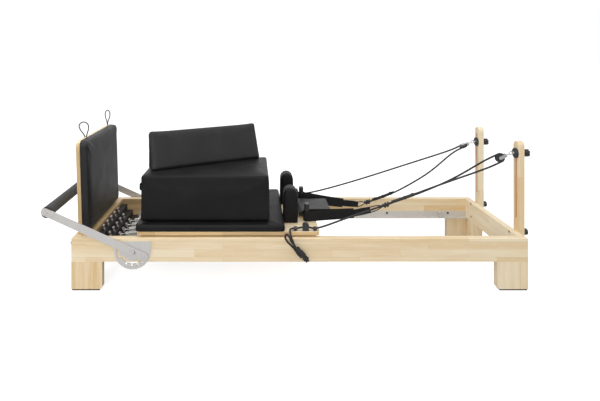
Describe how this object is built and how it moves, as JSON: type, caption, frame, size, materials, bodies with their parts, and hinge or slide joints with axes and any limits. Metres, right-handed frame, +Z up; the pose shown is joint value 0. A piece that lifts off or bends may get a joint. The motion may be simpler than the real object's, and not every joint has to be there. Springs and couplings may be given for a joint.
{
  "type": "pilates reformer",
  "caption": "Wooden pilates reformer with sliding carriage, spring row, folding foot bar, padded jump board, sitting box, wedge cushion and rope pulleys on risers.",
  "frame": {"origin": "middle of the footprint, on the floor, without the ropes and straps", "axes": "+X along the frame from the foot bar to the pulleys, +Y from the viewer's side to the far side, +Z up"},
  "size_m": [2.6235, 0.734, 0.8673],
  "materials": {
    "beech": "satin",
    "black_rubber": "matte",
    "silver_aluminium": "satin",
    "bright_steel": "satin",
    "spring_steel": "satin",
    "black_plastic": "satin",
    "black_foam": "matte",
    "black_vinyl": "satin",
    "black_cord": "matte",
    "black_webbing": "matte"
  },
  "bodies": {
    "frame": {"side_rail_front": "beech", "side_rail_back": "beech", "foot_end_rail": "beech", "head_end_rail": "beech", "foot_platform": "beech", "leg_foot_front": "beech", "leg_foot_back": "beech", "leg_head_front": "beech", "leg_head_back": "beech", "foot_pads": "black_rubber", "track_front": "silver_aluminium", "track_back": "silver_aluminium", "frame_bolts": "bright_steel", "carriage_stops": "silver_aluminium", "spring_bars": "black_plastic", "spring_studs": "bright_steel", "quadrant_plate_front": "silver_aluminium", "quadrant_plate_back": "silver_aluminium", "footbar_pivots": "bright_steel", "riser_front": "beech", "riser_back": "beech", "riser_knobs": "black_plastic"},
    "footbar": {"footbar_arm_front": "silver_aluminium", "footbar_arm_back": "silver_aluminium", "footbar_tube": "bright_steel", "footbar_foam": "black_foam", "footbar_caps": "black_plastic"},
    "jumpboard": {"jumpboard_panel": "beech", "jumpboard_pad": "black_vinyl", "jumpboard_pins": "bright_steel", "jumpboard_loops": "black_cord"},
    "carriage": {"carriage_board": "beech", "carriage_mat": "black_vinyl", "carriage_bearers": "beech", "spring_anchor": "bright_steel", "carriage_springs": "spring_steel", "strap_pegs": "black_plastic", "rope_cleats": "black_plastic", "headrest_hinge": "bright_steel", "rope_front": "black_cord", "rope_back": "black_cord", "rope_tail": "black_cord", "strap_front": "black_webbing", "strap_back": "black_webbing"},
    "wheel_foot_front": {"wheel_foot_front": "black_plastic"},
    "wheel_foot_back": {"wheel_foot_back": "black_plastic"},
    "wheel_head_front": {"wheel_head_front": "black_plastic"},
    "wheel_head_back": {"wheel_head_back": "black_plastic"},
    "shoulder_rest_front": {"shoulder_rest_front": "black_vinyl"},
    "shoulder_rest_back": {"shoulder_rest_back": "black_vinyl"},
    "headrest": {"headrest_pad": "black_vinyl", "headrest_board": "beech"},
    "long_box": {"long_box": "black_vinyl"},
    "wedge_cushion": {"wedge_cushion": "black_vinyl"},
    "pulley_front": {"pulley_bracket_front": "bright_steel"},
    "pulley_back": {"pulley_bracket_back": "bright_steel"},
    "pulley_sheave_front": {"pulley_sheave_front": "black_plastic"},
    "pulley_sheave_back": {"pulley_sheave_back": "black_plastic"},
    "pulley_knob_front": {"pulley_knob_front": "black_plastic"},
    "pulley_knob_back": {"pulley_knob_back": "black_plastic"}
  },
  "joints": [
    {"name": "footbar_swing", "type": "hinge", "parent": "frame", "child": "footbar", "pos_m": [-0.83249, 0, 0.21], "axis": [0, 1, 0], "range_deg": [0, 20]},
    {"name": "jumpboard_lift", "type": "slide", "parent": "frame", "child": "jumpboard", "axis": [0, 0, 1], "range_m": [0, 0.12]},
    {"name": "carriage_slide", "type": "slide", "parent": "frame", "child": "carriage", "axis": [1, 0, 0], "range_m": [0, 0.92], "stiffness_N_per_m": 150, "springref_m": -0.1, "deforming": ["carriage_springs", "rope_front", "rope_back"]},
    {"name": "headrest_tilt", "type": "hinge", "parent": "carriage", "child": "headrest", "pos_m": [0.05451, 0, 0.3043], "axis": [0, -1, 0], "range_deg": [0, 18]},
    {"name": "shoulder_rest_front_lift", "type": "slide", "parent": "carriage", "child": "shoulder_rest_front", "axis": [0, 0, 1], "range_m": [0, 0.08]},
    {"name": "shoulder_rest_back_lift", "type": "slide", "parent": "carriage", "child": "shoulder_rest_back", "axis": [0, 0, 1], "range_m": [0, 0.08]},
    {"name": "long_box_lift", "type": "slide", "parent": "carriage", "child": "long_box", "axis": [0, 0, 1], "range_m": [0, 0.15]},
    {"name": "wedge_lift", "type": "slide", "parent": "long_box", "child": "wedge_cushion", "axis": [0, 0, 1], "range_m": [0, 0.15]},
    {"name": "wheel_foot_front_spin", "type": "hinge", "parent": "carriage", "child": "wheel_foot_front", "pos_m": [-0.73549, -0.2845, 0.18205], "axis": [0, 1, 0], "range_deg": [0, 2110]},
    {"name": "wheel_foot_back_spin", "type": "hinge", "parent": "carriage", "child": "wheel_foot_back", "pos_m": [-0.73549, 0.2845, 0.18205], "axis": [0, 1, 0], "range_deg": [0, 2110]},
    {"name": "wheel_head_front_spin", "type": "hinge", "parent": "carriage", "child": "wheel_head_front", "pos_m": [0.07451, -0.2845, 0.18205], "axis": [0, 1, 0], "range_deg": [0, 2110]},
    {"name": "wheel_head_back_spin", "type": "hinge", "parent": "carriage", "child": "wheel_head_back", "pos_m": [0.07451, 0.2845, 0.18205], "axis": [0, 1, 0], "range_deg": [0, 2110]},
    {"name": "pulley_height_front", "type": "slide", "parent": "frame", "child": "pulley_front", "axis": [0, 0, 1], "range_m": [-0.351, 0.021], "deforming": ["rope_front"]},
    {"name": "sheave_spin_front", "type": "hinge", "parent": "pulley_front", "child": "pulley_sheave_front", "pos_m": [1.1556, -0.226, 0.67053], "axis": [0, 1, 0], "continuous": true},
    {"name": "pulley_knob_front_turn", "type": "hinge", "parent": "pulley_front", "child": "pulley_knob_front", "pos_m": [1.29451, -0.226, 0.698], "axis": [1, 0, 0], "continuous": true},
    {"name": "pulley_height_back", "type": "slide", "parent": "frame", "child": "pulley_back", "axis": [0, 0, 1], "range_m": [-0.321, 0.05], "deforming": ["rope_back"]},
    {"name": "sheave_spin_back", "type": "hinge", "parent": "pulley_back", "child": "pulley_sheave_back", "pos_m": [1.1556, 0.226, 0.64053], "axis": [0.4226, 0, -0.9063], "continuous": true},
    {"name": "pulley_knob_back_turn", "type": "hinge", "parent": "pulley_back", "child": "pulley_knob_back", "pos_m": [1.29451, 0.226, 0.668], "axis": [1, 0, 0], "continuous": true}
  ],
  "couplings": [
    {"joint": "wheel_foot_front_spin", "follows": "carriage_slide", "rad_per_m": 40},
    {"joint": "wheel_foot_back_spin", "follows": "carriage_slide", "rad_per_m": 40},
    {"joint": "wheel_head_front_spin", "follows": "carriage_slide", "rad_per_m": 40},
    {"joint": "wheel_head_back_spin", "follows": "carriage_slide", "rad_per_m": 40}
  ]
}
